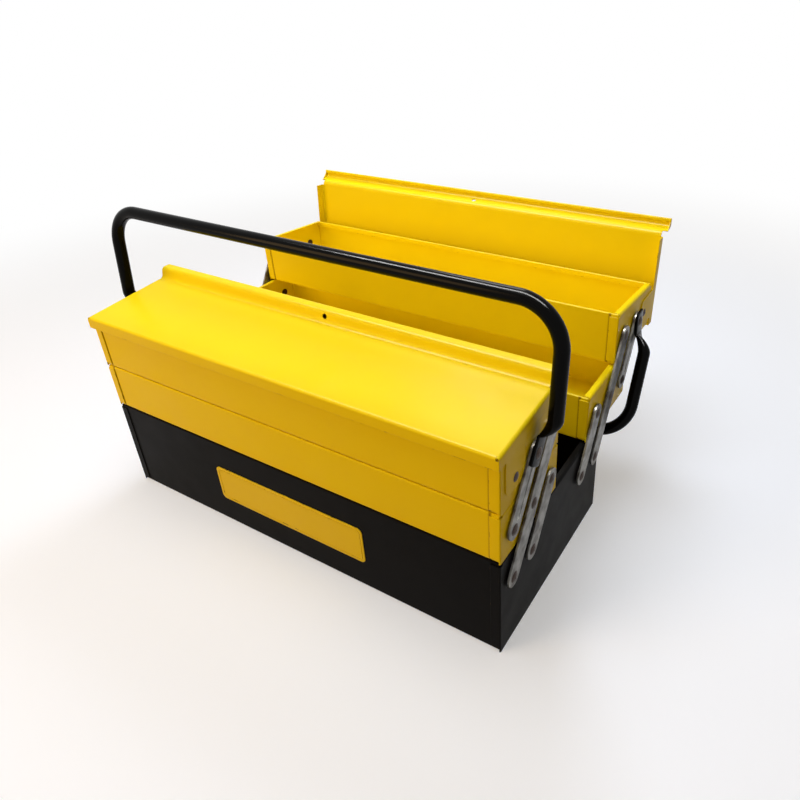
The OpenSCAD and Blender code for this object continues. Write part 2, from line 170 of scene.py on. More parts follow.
def bridge(shape: bmesh.types.BMesh, first: Ring, second: Ring) -> None:
    """Joins two rings of points with a band of faces.

    Args:
        shape: Mesh that holds the points.
        first: One ring, in order.
        second: The other ring, with as many points.
    """
    for k in range(len(first)):
        n = (k + 1) % len(first)
        shape.faces.new((first[k], first[n], second[n], second[k]))


@dataclass(frozen=True)
class StovedEnamel:
    """Stoved enamel sprayed on pressed steel: an even, hard gloss with a fine orange peel."""

    name: str
    body: str
    shade: str
    roughness: float
    smudge: float
    specular: float
    # orange peel: a little coarser than the real one, so that it shows
    peel_mm: float = 2.2
    peel_depth_mm: float = 0.012
    # slow drift of the film's thickness across a panel
    flow_mm: float = 70.0
    # finger marks, which add roughness between these two values of the noise
    smudge_mm: float = 24.0
    smudge_range: tuple[float, float] = (0.35, 0.7)
    # radius of a pressed and painted edge
    edge_mm: float = 0.9
    # turn of the normal (cosine) where an edge begins, and where it is in full
    edge_turn: tuple[float, float] = (0.99, 0.85)
    # chips along the edges: their size, the noise above which they start, and their rim
    flake_mm: float = 9.0
    flake_cover: float = 0.6
    flake_rim: float = 0.04
    primer: str = "#4A3512"
    # painted shade: a darker line along the seam where the end panels' flanges end, on both sides
    # of the middle; none at 0
    seam_x_mm: float = 0.0
    seam_mm: float = 2.2
    seam_cover: float = 0.8
    # colour of the painted shade along the seam
    seam_shade_colour: str = "#7A5208"
    # trough's middle in y, and the least distance from it of a wall with the seam
    seam_middle_m: float = 0.0
    seam_outward_m: float = 0.02

    def build(self) -> bpy.types.Material:
        """Builds the material: pigment drift, smudges, orange peel, chips and painted shade along
        the seams.

        Returns:
            The new material.
        """
        material, tree = new_material(self.name)
        place = add_node(tree, "ShaderNodeTexCoord").outputs["Object"]
        edges = add_node(
            tree, "ShaderNodeBevel", {"samples": BEVEL_SAMPLES}, {"Radius": self.edge_mm * MM}
        )
        rounded = edges.outputs[0]
        colour = add_node(
            tree,
            "ShaderNodeMix",
            {"data_type": "RGBA"},
            {
                MIX_FACTOR: self.flaked_edges(tree, place, rounded),
                MIX_A: self.painted_seam_shade(tree, place, self.pigment(tree, place)),
                MIX_B: linear(self.primer),
            },
        )
        shader = add_node(
            tree,
            "ShaderNodeBsdfPrincipled",
            inputs={
                "Base Color": colour.outputs[MIX_RESULT],
                "Roughness": self.handled_gloss(tree, place),
                "Normal": self.orange_peel(tree, place, rounded),
                "Specular IOR Level": self.specular,
            },
        )
        add_node(tree, "ShaderNodeOutputMaterial", inputs={"Surface": shader.outputs[0]})
        return material

    def pigment(
        self, tree: bpy.types.NodeTree, place: bpy.types.NodeSocket
    ) -> bpy.types.NodeSocket:
        """Adds nodes that let the clean enamel's colour drift over a panel.

        Args:
            tree: Node tree that the nodes go into.
            place: Texture coordinates.

        Returns:
            Socket with the colour.
        """
        drift = add_node(
            tree,
            "ShaderNodeTexNoise",
            inputs={"Vector": place, "Scale": per_metre(self.flow_mm), "Detail": 2.0},
        )
        colour = add_node(
            tree,
            "ShaderNodeMix",
            {"data_type": "RGBA"},
            {MIX_FACTOR: drift.outputs[0], MIX_A: linear(self.body), MIX_B: linear(self.shade)},
        )
        return colour.outputs[MIX_RESULT]

    def handled_gloss(
        self, tree: bpy.types.NodeTree, place: bpy.types.NodeSocket
    ) -> bpy.types.NodeSocket:
        """Adds nodes that dull the gloss where hands have smudged it.

        Args:
            tree: Node tree that the nodes go into.
            place: Texture coordinates.

        Returns:
            Socket with the roughness.
        """
        smudges = add_node(
            tree,
            "ShaderNodeTexNoise",
            inputs={
                "Vector": place,
                "Scale": per_metre(self.smudge_mm),
                "Detail": 4.0,
                "Roughness": 0.6,
            },
        )
        clean, handled = self.smudge_range
        gloss = add_node(
            tree,
            "ShaderNodeMapRange",
            inputs={
                "Value": smudges.outputs[0],
                "From Min": clean,
                "From Max": handled,
                "To Min": self.roughness,
                "To Max": self.roughness + self.smudge,
            },
        )
        return gloss.outputs[0]

    def orange_peel(
        self,
        tree: bpy.types.NodeTree,
        place: bpy.types.NodeSocket,
        rounded: bpy.types.NodeSocket,
    ) -> bpy.types.NodeSocket:
        """Adds nodes that ripple the film as sprayed enamel does.

        Args:
            tree: Node tree that the nodes go into.
            place: Texture coordinates.
            rounded: Normal of the rounded edges.

        Returns:
            Socket with the normal.
        """
        peel = add_node(
            tree,
            "ShaderNodeTexNoise",
            inputs={"Vector": place, "Scale": per_metre(self.peel_mm), "Detail": 1.0},
        )
        bump = add_node(
            tree,
            "ShaderNodeBump",
            inputs={
                "Height": peel.outputs[0],
                "Distance": self.peel_depth_mm * MM,
                "Strength": 1.0,
                "Normal": rounded,
            },
        )
        return bump.outputs[0]

    def painted_seam_shade(
        self,
        tree: bpy.types.NodeTree,
        place: bpy.types.NodeSocket,
        pigment: bpy.types.NodeSocket,
    ) -> bpy.types.NodeSocket:
        """Adds nodes that paint shade in a line on the wall where the end panels' flanges end on
        it.

        Args:
            tree: Node tree that the nodes go into.
            place: Texture coordinates.
            pigment: Colour of the clean enamel.

        Returns:
            Socket with the colour, which is the clean one where there is no such seam.
        """
        if not self.seam_x_mm:
            return pigment
        spot = add_node(tree, "ShaderNodeSeparateXYZ", inputs={"Vector": place})
        from_middle = add_node(
            tree, "ShaderNodeMath", {"operation": "ABSOLUTE"}, {0: spot.outputs["X"]}
        )
        from_seam = add_node(
            tree,
            "ShaderNodeMath",
            {"operation": "SUBTRACT"},
            {0: from_middle.outputs[0], 1: self.seam_x_mm * MM},
        )
        width = add_node(
            tree, "ShaderNodeMath", {"operation": "ABSOLUTE"}, {0: from_seam.outputs[0]}
        )
        # painted shade, darkest at the seam and fading out on both sides of it
        seam_shade_band = add_node(
            tree,
            "ShaderNodeMapRange",
            {"interpolation_type": "SMOOTHSTEP"},
            {
                "Value": width.outputs[0],
                "From Min": 0.0,
                "From Max": self.seam_mm * MM,
                "To Min": self.seam_cover,
                "To Max": 0.0,
            },
        )
        normal = add_node(tree, "ShaderNodeTexCoord").outputs["Normal"]
        faces = add_node(tree, "ShaderNodeSeparateXYZ", inputs={"Vector": normal})
        across = add_node(
            tree,
            "ShaderNodeMath",
            {"operation": "SUBTRACT"},
            {0: spot.outputs["Y"], 1: self.seam_middle_m},
        )
        outward = add_node(
            tree,
            "ShaderNodeMath",
            {"operation": "MULTIPLY"},
            {0: across.outputs[0], 1: faces.outputs["Y"]},
        )
        outside = add_node(
            tree,
            "ShaderNodeMath",
            {"operation": "GREATER_THAN"},
            {0: outward.outputs[0], 1: self.seam_outward_m},
        )
        shown = add_node(
            tree,
            "ShaderNodeMath",
            {"operation": "MULTIPLY"},
            {0: seam_shade_band.outputs[0], 1: outside.outputs[0]},
        )
        # mixes the painted shade into the enamel, on outward facing walls only
        colour = add_node(
            tree,
            "ShaderNodeMix",
            {"data_type": "RGBA"},
            {MIX_FACTOR: shown.outputs[0], MIX_A: pigment, MIX_B: linear(self.seam_shade_colour)},
        )
        return colour.outputs[MIX_RESULT]

    def flaked_edges(
        self,
        tree: bpy.types.NodeTree,
        place: bpy.types.NodeSocket,
        rounded: bpy.types.NodeSocket,
    ) -> bpy.types.NodeSocket:
        """Adds nodes that give 1 where the enamel has flaked off an edge, and 0 elsewhere.

        Args:
            tree: Node tree that the nodes go into.
            place: Texture coordinates.
            rounded: Normal of the rounded edges.

        Returns:
            Socket with that value.
        """
        face = add_node(tree, "ShaderNodeNewGeometry").outputs["Normal"]
        turn = add_node(
            tree, "ShaderNodeVectorMath", {"operation": "DOT_PRODUCT"}, {0: rounded, 1: face}
        )
        begins, full = self.edge_turn
        edge = add_node(
            tree,
            "ShaderNodeMapRange",
            inputs={"Value": turn.outputs["Value"], "From Min": begins, "From Max": full},
        )
        flakes = add_node(
            tree,
            "ShaderNodeTexNoise",
            inputs={"Vector": place, "Scale": per_metre(self.flake_mm), "Detail": 3.0},
        )
        bare = add_node(
            tree,
            "ShaderNodeMapRange",
            inputs={
                "Value": flakes.outputs[0],
                "From Min": self.flake_cover,
                "From Max": self.flake_cover + self.flake_rim,
            },
        )
        both = add_node(
            tree,
            "ShaderNodeMath",
            {"operation": "MULTIPLY"},
            {0: edge.outputs[0], 1: bare.outputs[0]},
        )
        return both.outputs[0]


@dataclass(frozen=True)
class ZincPlatedStrip:
    """Zinc plated strip steel, drawn along its length: grey, slightly mottled and brushed."""

    name: str
    bright: str
    dull: str
    lean_deg: float
    # roughness between the drawing lines and on them
    roughness: tuple[float, float] = (0.26, 0.46)
    # drawing lines: really finer than 0.1 mm, drawn this wide so that they show
    draw_mm: float = 0.7
    draw_length_mm: float = 45.0
    draw_depth_mm: float = 0.01
    # patches where the zinc has gone dull, between these two values of the noise
    bloom_mm: float = 9.0
    bloom_range: tuple[float, float] = (0.34, 0.69)
    # radius of a tumbled, stamped edge
    edge_mm: float = 0.5

    def build(self) -> bpy.types.Material:
        """Builds the material: drawing lines along the strip and a mottled bloom.

        Returns:
            The new material.
        """
        material, tree = new_material(self.name)
        place = add_node(tree, "ShaderNodeTexCoord").outputs["Object"]
        along = add_node(
            tree,
            "ShaderNodeMapping",
            inputs={
                "Vector": place,
                "Rotation": (math.radians(self.lean_deg), 0.0, 0.0),
                "Scale": (1.0, 1.0, self.draw_mm / self.draw_length_mm),
            },
        )
        lines = add_node(
            tree,
            "ShaderNodeTexNoise",
            inputs={"Vector": along.outputs[0], "Scale": per_metre(self.draw_mm), "Detail": 3.0},
        )
        bloom = add_node(
            tree,
            "ShaderNodeTexNoise",
            inputs={"Vector": place, "Scale": per_metre(self.bloom_mm), "Detail": 3.0},
        )
        clear, stained = self.bloom_range
        patches = add_node(
            tree,
            "ShaderNodeMapRange",
            inputs={"Value": bloom.outputs[0], "From Min": clear, "From Max": stained},
        )
        plating = add_node(
            tree,
            "ShaderNodeMix",
            {"data_type": "RGBA"},
            {MIX_FACTOR: patches.outputs[0], MIX_A: linear(self.bright), MIX_B: linear(self.dull)},
        )
        smooth, rough = self.roughness
        gloss = add_node(
            tree,
            "ShaderNodeMapRange",
            inputs={"Value": lines.outputs[0], "To Min": smooth, "To Max": rough},
        )
        rounded = add_node(
            tree, "ShaderNodeBevel", {"samples": BEVEL_SAMPLES}, {"Radius": self.edge_mm * MM}
        )
        bump = add_node(
            tree,
            "ShaderNodeBump",
            inputs={
                "Height": lines.outputs[0],
                "Distance": self.draw_depth_mm * MM,
                "Strength": 1.0,
                "Normal": rounded.outputs[0],
            },
        )
        shader = add_node(
            tree,
            "ShaderNodeBsdfPrincipled",
            inputs={
                "Base Color": plating.outputs[MIX_RESULT],
                "Metallic": 1.0,
                "Roughness": gloss.outputs[0],
                "Normal": bump.outputs[0],
            },
        )
        add_node(tree, "ShaderNodeOutputMaterial", inputs={"Surface": shader.outputs[0]})
        return material


@dataclass(frozen=True)
class OiledRivetSteel:
    """Bare steel rivet with a film of oil: dark, brownish and unevenly dull."""

    name: str
    steel: str
    oil: str
    # the film dulls the metal a little, and more where it is thick
    metallic: float = 0.9
    roughness: tuple[float, float] = (0.3, 0.57)
    film_mm: float = 1.6

    def build(self) -> bpy.types.Material:
        """Builds the material: steel under a patchy brown film.

        Returns:
            The new material.
        """
        material, tree = new_material(self.name)
        place = add_node(tree, "ShaderNodeTexCoord").outputs["Object"]
        film = add_node(
            tree,
            "ShaderNodeTexNoise",
            inputs={"Vector": place, "Scale": per_metre(self.film_mm), "Detail": 3.0},
        )
        colour = add_node(
            tree,
            "ShaderNodeMix",
            {"data_type": "RGBA"},
            {MIX_FACTOR: film.outputs[0], MIX_A: linear(self.steel), MIX_B: linear(self.oil)},
        )
        thin, thick = self.roughness
        gloss = add_node(
            tree,
            "ShaderNodeMapRange",
            inputs={"Value": film.outputs[0], "To Min": thin, "To Max": thick},
        )
        shader = add_node(
            tree,
            "ShaderNodeBsdfPrincipled",
            inputs={
                "Base Color": colour.outputs[MIX_RESULT],
                "Metallic": self.metallic,
                "Roughness": gloss.outputs[0],
            },
        )
        add_node(tree, "ShaderNodeOutputMaterial", inputs={"Surface": shader.outputs[0]})
        return material


# chrome yellow stoving enamel: warm, opaque, an even satin gloss
YELLOW_ENAMEL = StovedEnamel(
    name="yellow_stoved_enamel",
    body="#F8E310",
    shade="#F4DC0C",
    roughness=0.3,
    smudge=0.1,
    specular=0.06,
)
# semi-gloss black stoving enamel: neutral, a little dusty
BLACK_ENAMEL = StovedEnamel(
    name="black_stoved_enamel",
    body="#0D0C0B",
    shade="#090808",
    roughness=0.4,
    smudge=0.06,
    specular=0.03,
)
# high gloss black on tube: near mirror streaks along the bends
TUBE_ENAMEL = StovedEnamel(
    name="black_tube_enamel",
    body="#050505",
    shade="#040404",
    roughness=0.12,
    smudge=0.05,
    specular=0.05,
    peel_mm=4.0,
)
# screen yellow on the plain plate: flatter than the enamel
PLATE_ENAMEL = StovedEnamel(
    name="yellow_plate_enamel",
    body="#F3DB20",
    shade="#EDD41A",
    roughness=0.36,
    smudge=0.06,
    specular=0.1,
)
# zinc gone grey, brushed along the arms; they lean 33 degrees shut and 31 degrees open
ARM_ZINC = ZincPlatedStrip(
    name="zinc_plated_strip", bright="#83827D", dull="#403B35", lean_deg=32.4
)
# bare steel, browned by old oil
RIVET_STEEL = OiledRivetSteel(name="oiled_rivet_steel", steel="#4A3E38", oil="#221B17")


@dataclass(frozen=True)
class Finishes:
    """The box's finishes, built once and shared by its pieces."""

    yellow: bpy.types.Material
    black: bpy.types.Material
    tube: bpy.types.Material
    zinc: bpy.types.Material
    rivet: bpy.types.Material
    plate: bpy.types.Material

    @classmethod
    def mix(cls) -> Finishes:
        """Builds every finish.

        Returns:
            The finishes.
        """
        return cls(
            yellow=YELLOW_ENAMEL.build(),
            black=BLACK_ENAMEL.build(),
            tube=TUBE_ENAMEL.build(),
            zinc=ARM_ZINC.build(),
            rivet=RIVET_STEEL.build(),
            plate=PLATE_ENAMEL.build(),
        )


@dataclass
class Assembly:
    """Part of the box whose CAD nodes share a way of being dressed."""

    nodes: dict[str, bpy.types.Object]
    finishes: Finishes

    def dress(self, name: str, material: bpy.types.Material) -> None:
        """Gives a CAD node its finish.

        Args:
            name: Name of the CAD node.
            material: Finish that fills all its slots.
        """
        piece = self.nodes[name]
        piece.data.materials.clear()
        piece.data.materials.append(material)
        log.info("dressed %s in %s", name, material.name)

    def dress_all(self, names: Iterable[str], material: bpy.types.Material) -> None:
        """Gives several CAD nodes the same finish."""
        for name in names:
            self.dress(name, material)


@dataclass
class NamePlate(Assembly):
    """Blank plate on the base's front, with a fine raised border."""

    rim_inset_mm: float = 2.5
    rim_width_mm: float = 0.9
    rim_height_mm: float = 0.25
    corner_mm: float = 3.5
    corner_steps: int = 8

    def build(self) -> None:
        """Dresses the plate and builds its border."""
        self.dress("name_plate", self.finishes.plate)
        low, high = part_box("name_plate")
        mesh = bpy.data.meshes.new("name_plate_border")
        shape = bmesh.new()
        outside = self.rim_inset_mm * MM
        inside = outside + self.rim_width_mm * MM
        top = self.rim_height_mm * MM
        rings = [
            self.ring(shape, low, high, inset, rise)
            for inset, rise in ((outside, 0.0), (outside, top), (inside, top), (inside, 0.0))
        ]
        for first, second in zip(rings, rings[1:] + rings[:1]):
            bridge(shape, first, second)
        bmesh.ops.recalc_face_normals(shape, faces=shape.faces)
        shape.to_mesh(mesh)
        shape.free()
        border = bpy.data.objects.new("name_plate_border", mesh)
        bpy.context.scene.collection.objects.link(border)
        border.data.materials.append(self.finishes.plate)
        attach(border, "base")
        log.info("built name_plate_border")

    def ring(
        self, shape: bmesh.types.BMesh, low: Vector, high: Vector, inset: float, rise: float
    ) -> Ring:
        """Adds one closed ring of points round the plate.

        Args:
            shape: Mesh that the points go into.
            low: Lowest corner of the plate.
            high: Highest corner of the plate.
            inset: Distance inside the plate's edge, in metres.
            rise: Height above the plate's face, in metres.

        Returns:
            The ring's points in order.
        """
        radius = self.corner_mm * MM
        points = []
        arcs = (
            (high.x - inset - radius, high.z - inset - radius, 0.0),
            (low.x + inset + radius, high.z - inset - radius, 90.0),
            (low.x + inset + radius, low.z + inset + radius, 180.0),
            (high.x - inset - radius, low.z + inset + radius, 270.0),
        )
        for x, z, start in arcs:
            for k in range(self.corner_steps + 1):
                turn = math.radians(start + 90.0 * k / self.corner_steps)
                place = (x + radius * math.cos(turn), low.y - rise, z + radius * math.sin(turn))
                points.append(shape.verts.new(place))
        return points


@dataclass
class BaseBox(Assembly):
    """Black base: trough, end panels and the rivets that carry the arms."""

    panels: tuple[str, ...] = ("base_trough", "base_end_left", "base_end_right")

    def build(self) -> None:
        """Dresses the base."""
        self.dress_all(self.panels, self.finishes.black)
        self.dress("base_rivets", self.finishes.rivet)


@dataclass
class TubeHandle(Assembly):
    """Bent tube handle whose ends are pressed flat and drilled for a rivet.

    Its sizes are measured from the rivets' axis, with the legs along z.
    """

    side: Side = Side.FRONT
    # rivets' axis (y, z) and the handle's turn about it at rest
    pivot_mm: tuple[float, float] = (-52.0, 174.0)
    turn_deg: float = -5.5
    tube_mm: float = 12.0
    reach_mm: float = 117.5
    leg_x_mm: float = 241.0
    leg_y_mm: float = 2.0
    corner_mm: float = 35.0
    # flat end: its middle plane, its sizes, and how far it reaches below and above the rivet
    flat_x_mm: float = 229.8
    flat_thick_mm: float = 2.4
    flat_width_mm: float = 16.5
    flat_tip_mm: float = 11.0
    flat_top_mm: float = 12.0
    flat_bend_deg: float = 27.8
    # straight part left between the flat end's last section and the shoulder
    flat_rest_mm: float = 2.0
    tip_round_mm: float = 3.0
    # shoulder: where it ends, and how strongly both ends steer its middle line
    shoulder_top_mm: float = 31.0
    shoulder_pull_mm: float = 22.0
    hole_mm: float = 6.16
    # points round a section, round the drilled hole, and sections per bend
    points_round: int = 32
    hole_points: int = 48
    tip_steps: int = 6
    shoulder_steps: int = 24
    corner_steps: int = 24
    # edges sharper than this stay sharp
    crease_deg: float = 35.0

    def build(self) -> None:
        """Builds the handle in place of its CAD node."""
        half = self.flat_end() + self.shoulder() + self.corner()
        sections = half + [self.mirrored(section) for section in reversed(half)]
        shape = bmesh.new()
        rings = [self.ring(shape, *section) for section in sections]
        for first, second in zip(rings, rings[1:]):
            bridge(shape, first, second)
        shape.faces.new(rings[0])
        shape.faces.new(rings[-1])
        bmesh.ops.recalc_face_normals(shape, faces=shape.faces)
        node = f"{self.side.value}_handle"
        handle = self.drilled(shape, f"{node}_tube")
        handle.data.transform(self.stance())
        handle.data.shade_smooth()
        handle.data.set_sharp_from_angle(angle=math.radians(self.crease_deg))
        handle.data.materials.clear()
        handle.data.materials.append(self.finishes.tube)
        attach(handle, node)
        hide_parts(node)
        log.info("built %s", handle.name)

    def stance(self) -> Matrix:
        """Works out the handle's place at rest.

        Returns:
            Transform from the handle's own millimetres to metres in the frame.
        """
        mirror = -1.0 if self.side is Side.REAR else 1.0
        return (
            Matrix.Translation(Vector((0.0, *self.pivot_mm)) * MM)
            @ Matrix.Rotation(math.radians(self.turn_deg), 4, "X")
            @ Matrix.Diagonal((MM, mirror * MM, MM, 1.0))
        )

    def flat_heading(self) -> Vector:
        """Direction of the flat end, from its tip to the shoulder."""
        lean = math.radians(self.flat_bend_deg)
        return Vector((0.0, math.sin(lean), math.cos(lean)))

    def flat_end(self) -> list[Section]:
        """Gives the sections of the flat end.

        Returns:
            Sections from the rounded tip to the shoulder.
        """
        along = self.flat_heading()
        across = Vector((0.0, along.z, -along.y))
        centre = Vector((self.flat_x_mm, 0.0, 0.0))
        sections = []
        for k in range(self.tip_steps + 1):
            turn = math.radians(90.0) * k / self.tip_steps
            rise = self.tip_round_mm * (1.0 - math.cos(turn))
            width = self.flat_width_mm / 2 - self.tip_round_mm * (1.0 - math.sin(turn))
            place = centre + along * (rise - self.flat_tip_mm)
            sections.append((place, along, across, self.flat_thick_mm / 2, width))
        place = centre + along * (self.flat_top_mm - self.flat_rest_mm)
        sections.append((place, along, across, self.flat_thick_mm / 2, self.flat_width_mm / 2))
        return sections

    def shoulder(self) -> list[Section]:
        """Gives the sections where the flat end swells into the full tube.

        Returns:
            Sections from the flat end to the leg, along a cubic curve.
        """
        along = self.flat_heading()
        start = Vector((self.flat_x_mm, 0.0, 0.0)) + along * self.flat_top_mm
        end = Vector((self.leg_x_mm, self.leg_y_mm, self.shoulder_top_mm))
        pull, up = self.shoulder_pull_mm, Vector((0.0, 0.0, 1.0))
        sections = []
        for k in range(self.shoulder_steps + 1):
            t = k / self.shoulder_steps
            swell = t * t * (3.0 - 2.0 * t)
            place = start + (end - start) * swell
            place += along * pull * (t**3 - 2 * t**2 + t) + up * pull * (t**3 - t**2)
            heading = (end - start) * (6 * t - 6 * t**2)
            heading += along * pull * (3 * t**2 - 4 * t + 1) + up * pull * (3 * t**2 - 2 * t)
            heading.normalize()
            across = Vector((0.0, heading.z, -heading.y)).normalized()
            thick = self.flat_thick_mm + (self.tube_mm - self.flat_thick_mm) * swell
            width = self.flat_width_mm + (self.tube_mm - self.flat_width_mm) * swell
            sections.append((place, heading, across, thick / 2, width / 2))
        return sections

    def corner(self) -> list[Section]:
        """Gives the sections of the corner bend.

        Returns:
            Sections from the leg to the grip.
        """
        across = Vector((0.0, 1.0, 0.0))
        radius = self.tube_mm / 2
        sections = []
        for k in range(self.corner_steps + 1):
            turn = math.radians(90.0) * k / self.corner_steps
            place = Vector(
                (
                    self.leg_x_mm - self.corner_mm * (1.0 - math.cos(turn)),
                    self.leg_y_mm,
                    self.reach_mm - self.corner_mm * (1.0 - math.sin(turn)),
                )
            )
            heading = Vector((-math.sin(turn), 0.0, math.cos(turn)))
            sections.append((place, heading, across, radius, radius))
        return sections

    def mirrored(self, section: Section) -> Section:
        """Turns a section of the right half into the left half's, passed the other way.

        Args:
            section: Section of the right half.

        Returns:
            The same section at the other end.
        """
        place, heading, across, thick, width = section
        return (
            Vector((-place.x, place.y, place.z)),
            Vector((heading.x, -heading.y, -heading.z)),
            across,
            thick,
            width,
        )

    def ring(
        self,
        shape: bmesh.types.BMesh,
        place: Vector,
        heading: Vector,
        across: Vector,
        thick: float,
        width: float,
    ) -> Ring:
        """Adds one section's points: two half rounds with a flat between them.

        Args:
            shape: Mesh that the points go into.
            place: Middle of the section, in millimetres.
            heading: Direction of the tube there.
            across: Direction of the section's width.
            thick: Half the thickness, in millimetres.
            width: Half the width, in millimetres.

        Returns:
            The section's points in order.
        """
        out = across.cross(heading)
        points = []
        for k in range(self.points_round):
            turn = math.tau * (k + 0.5) / self.points_round
            side = math.copysign(width - thick, math.sin(turn))
            point = place + out * thick * math.cos(turn) + across * (thick * math.sin(turn) + side)
            points.append(shape.verts.new(point))
        return points

    def drilled(self, shape: bmesh.types.BMesh, name: str) -> bpy.types.Object:
        """Drills the rivet holes through the flat ends.

        Args:
            shape: Mesh of the handle, in millimetres, which is used up.
            name: Name of the new piece.

        Returns:
            The drilled handle.
        """
        solid = bpy.data.objects.new(name, bpy.data.meshes.new(name))
        shape.to_mesh(solid.data)
        shape.free()
        # one bit, long enough to pass through both ends
        drill = bmesh.new()
        bmesh.ops.create_cone(
            drill,
            cap_ends=True,
            segments=self.hole_points,
            radius1=self.hole_mm / 2,
            radius2=self.hole_mm / 2,
            depth=4 * self.leg_x_mm,
            matrix=Matrix.Rotation(math.radians(90), 4, "Y"),
        )
        bit = bpy.data.objects.new("bit", bpy.data.meshes.new("bit"))
        drill.to_mesh(bit.data)
        drill.free()
        for piece in (solid, bit):
            bpy.context.scene.collection.objects.link(piece)
        cut = solid.modifiers.new("rivet_holes", "BOOLEAN")
        cut.object = bit
        cut.solver = "EXACT"
        result = solid.evaluated_get(bpy.context.evaluated_depsgraph_get())
        drilled = bpy.data.meshes.new_from_object(result)
        solid.modifiers.clear()
        solid.data = drilled
        drilled.name = name
        bpy.data.objects.remove(bit)
        return solid


@dataclass
class CantileverSide(Assembly):
    """Two trays, a lid and six arms that swing out on one side of the base."""

    side: Side = Side.FRONT
    # distance from the middle of the box to where the end panels' flanges end
    flange_end_mm: float = 216.0

    def build(self) -> None:
        """Dresses every piece of this side."""
        self.dress_trays()
        self.dress_arms()
        self.dress(f"{self.side.value}_lid", self.finishes.yellow)
        self.dress(f"{self.side.value}_hinge_rivets", self.finishes.rivet)

    def dress_trays(self) -> None:
        """Dresses both trays and their rivets."""
        for level in Level:
            tray = f"{self.side.value}_{level.value}"
            self.dress_trough(f"{tray}_trough")
            for end in End:
                self.dress(f"{tray}_end_{end.value}", self.finishes.yellow)
            self.dress(f"{tray}_rivets", self.finishes.rivet)

    def dress_trough(self, name: str) -> None:
        """Dresses a trough in enamel with painted shade in a line where the end panels' flanges
        end.

        Args:
            name: Name of the trough's CAD node.
        """
        low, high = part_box(name)
        enamel = replace(
            YELLOW_ENAMEL,
            name=f"yellow_enamel_{name}",
            seam_x_mm=self.flange_end_mm,
            seam_middle_m=(low.y + high.y) / 2,
        )
        self.dress(name, enamel.build())

    def dress_arms(self) -> None:
        """Dresses the arms at both ends."""
        for arm in Arm:
            for end in End:
                self.dress(f"{self.side.value}_{arm.value}_arm_{end.value}", self.finishes.zinc)


@dataclass(frozen=True)
class SoftBox:
    """Rectangular studio lamp that faces a point."""

    name: str
    place_mm: tuple[float, float, float]
    target_mm: tuple[float, float, float]
    size_mm: tuple[float, float]
    watts: float
    tint: str = "#FFFFFF"
    # shows in reflections alone, and throws no light on matt surfaces
    gloss_only: bool = False

    def hang(self) -> None:
        """Makes the lamp."""
        lamp = bpy.data.lights.new(self.name, "AREA")
        lamp.shape = "RECTANGLE"
        lamp.size, lamp.size_y = (side * MM for side in self.size_mm)
        lamp.energy = self.watts
        lamp.color = linear(self.tint)[:3]
        holder = bpy.data.objects.new(self.name, lamp)
        holder.location = Vector(self.place_mm) * MM
        towards = Vector(self.target_mm) - Vector(self.place_mm)
        holder.rotation_euler = towards.to_track_quat("-Z", "Y").to_euler()
        holder.visible_diffuse = not self.gloss_only
        bpy.context.scene.collection.objects.link(holder)


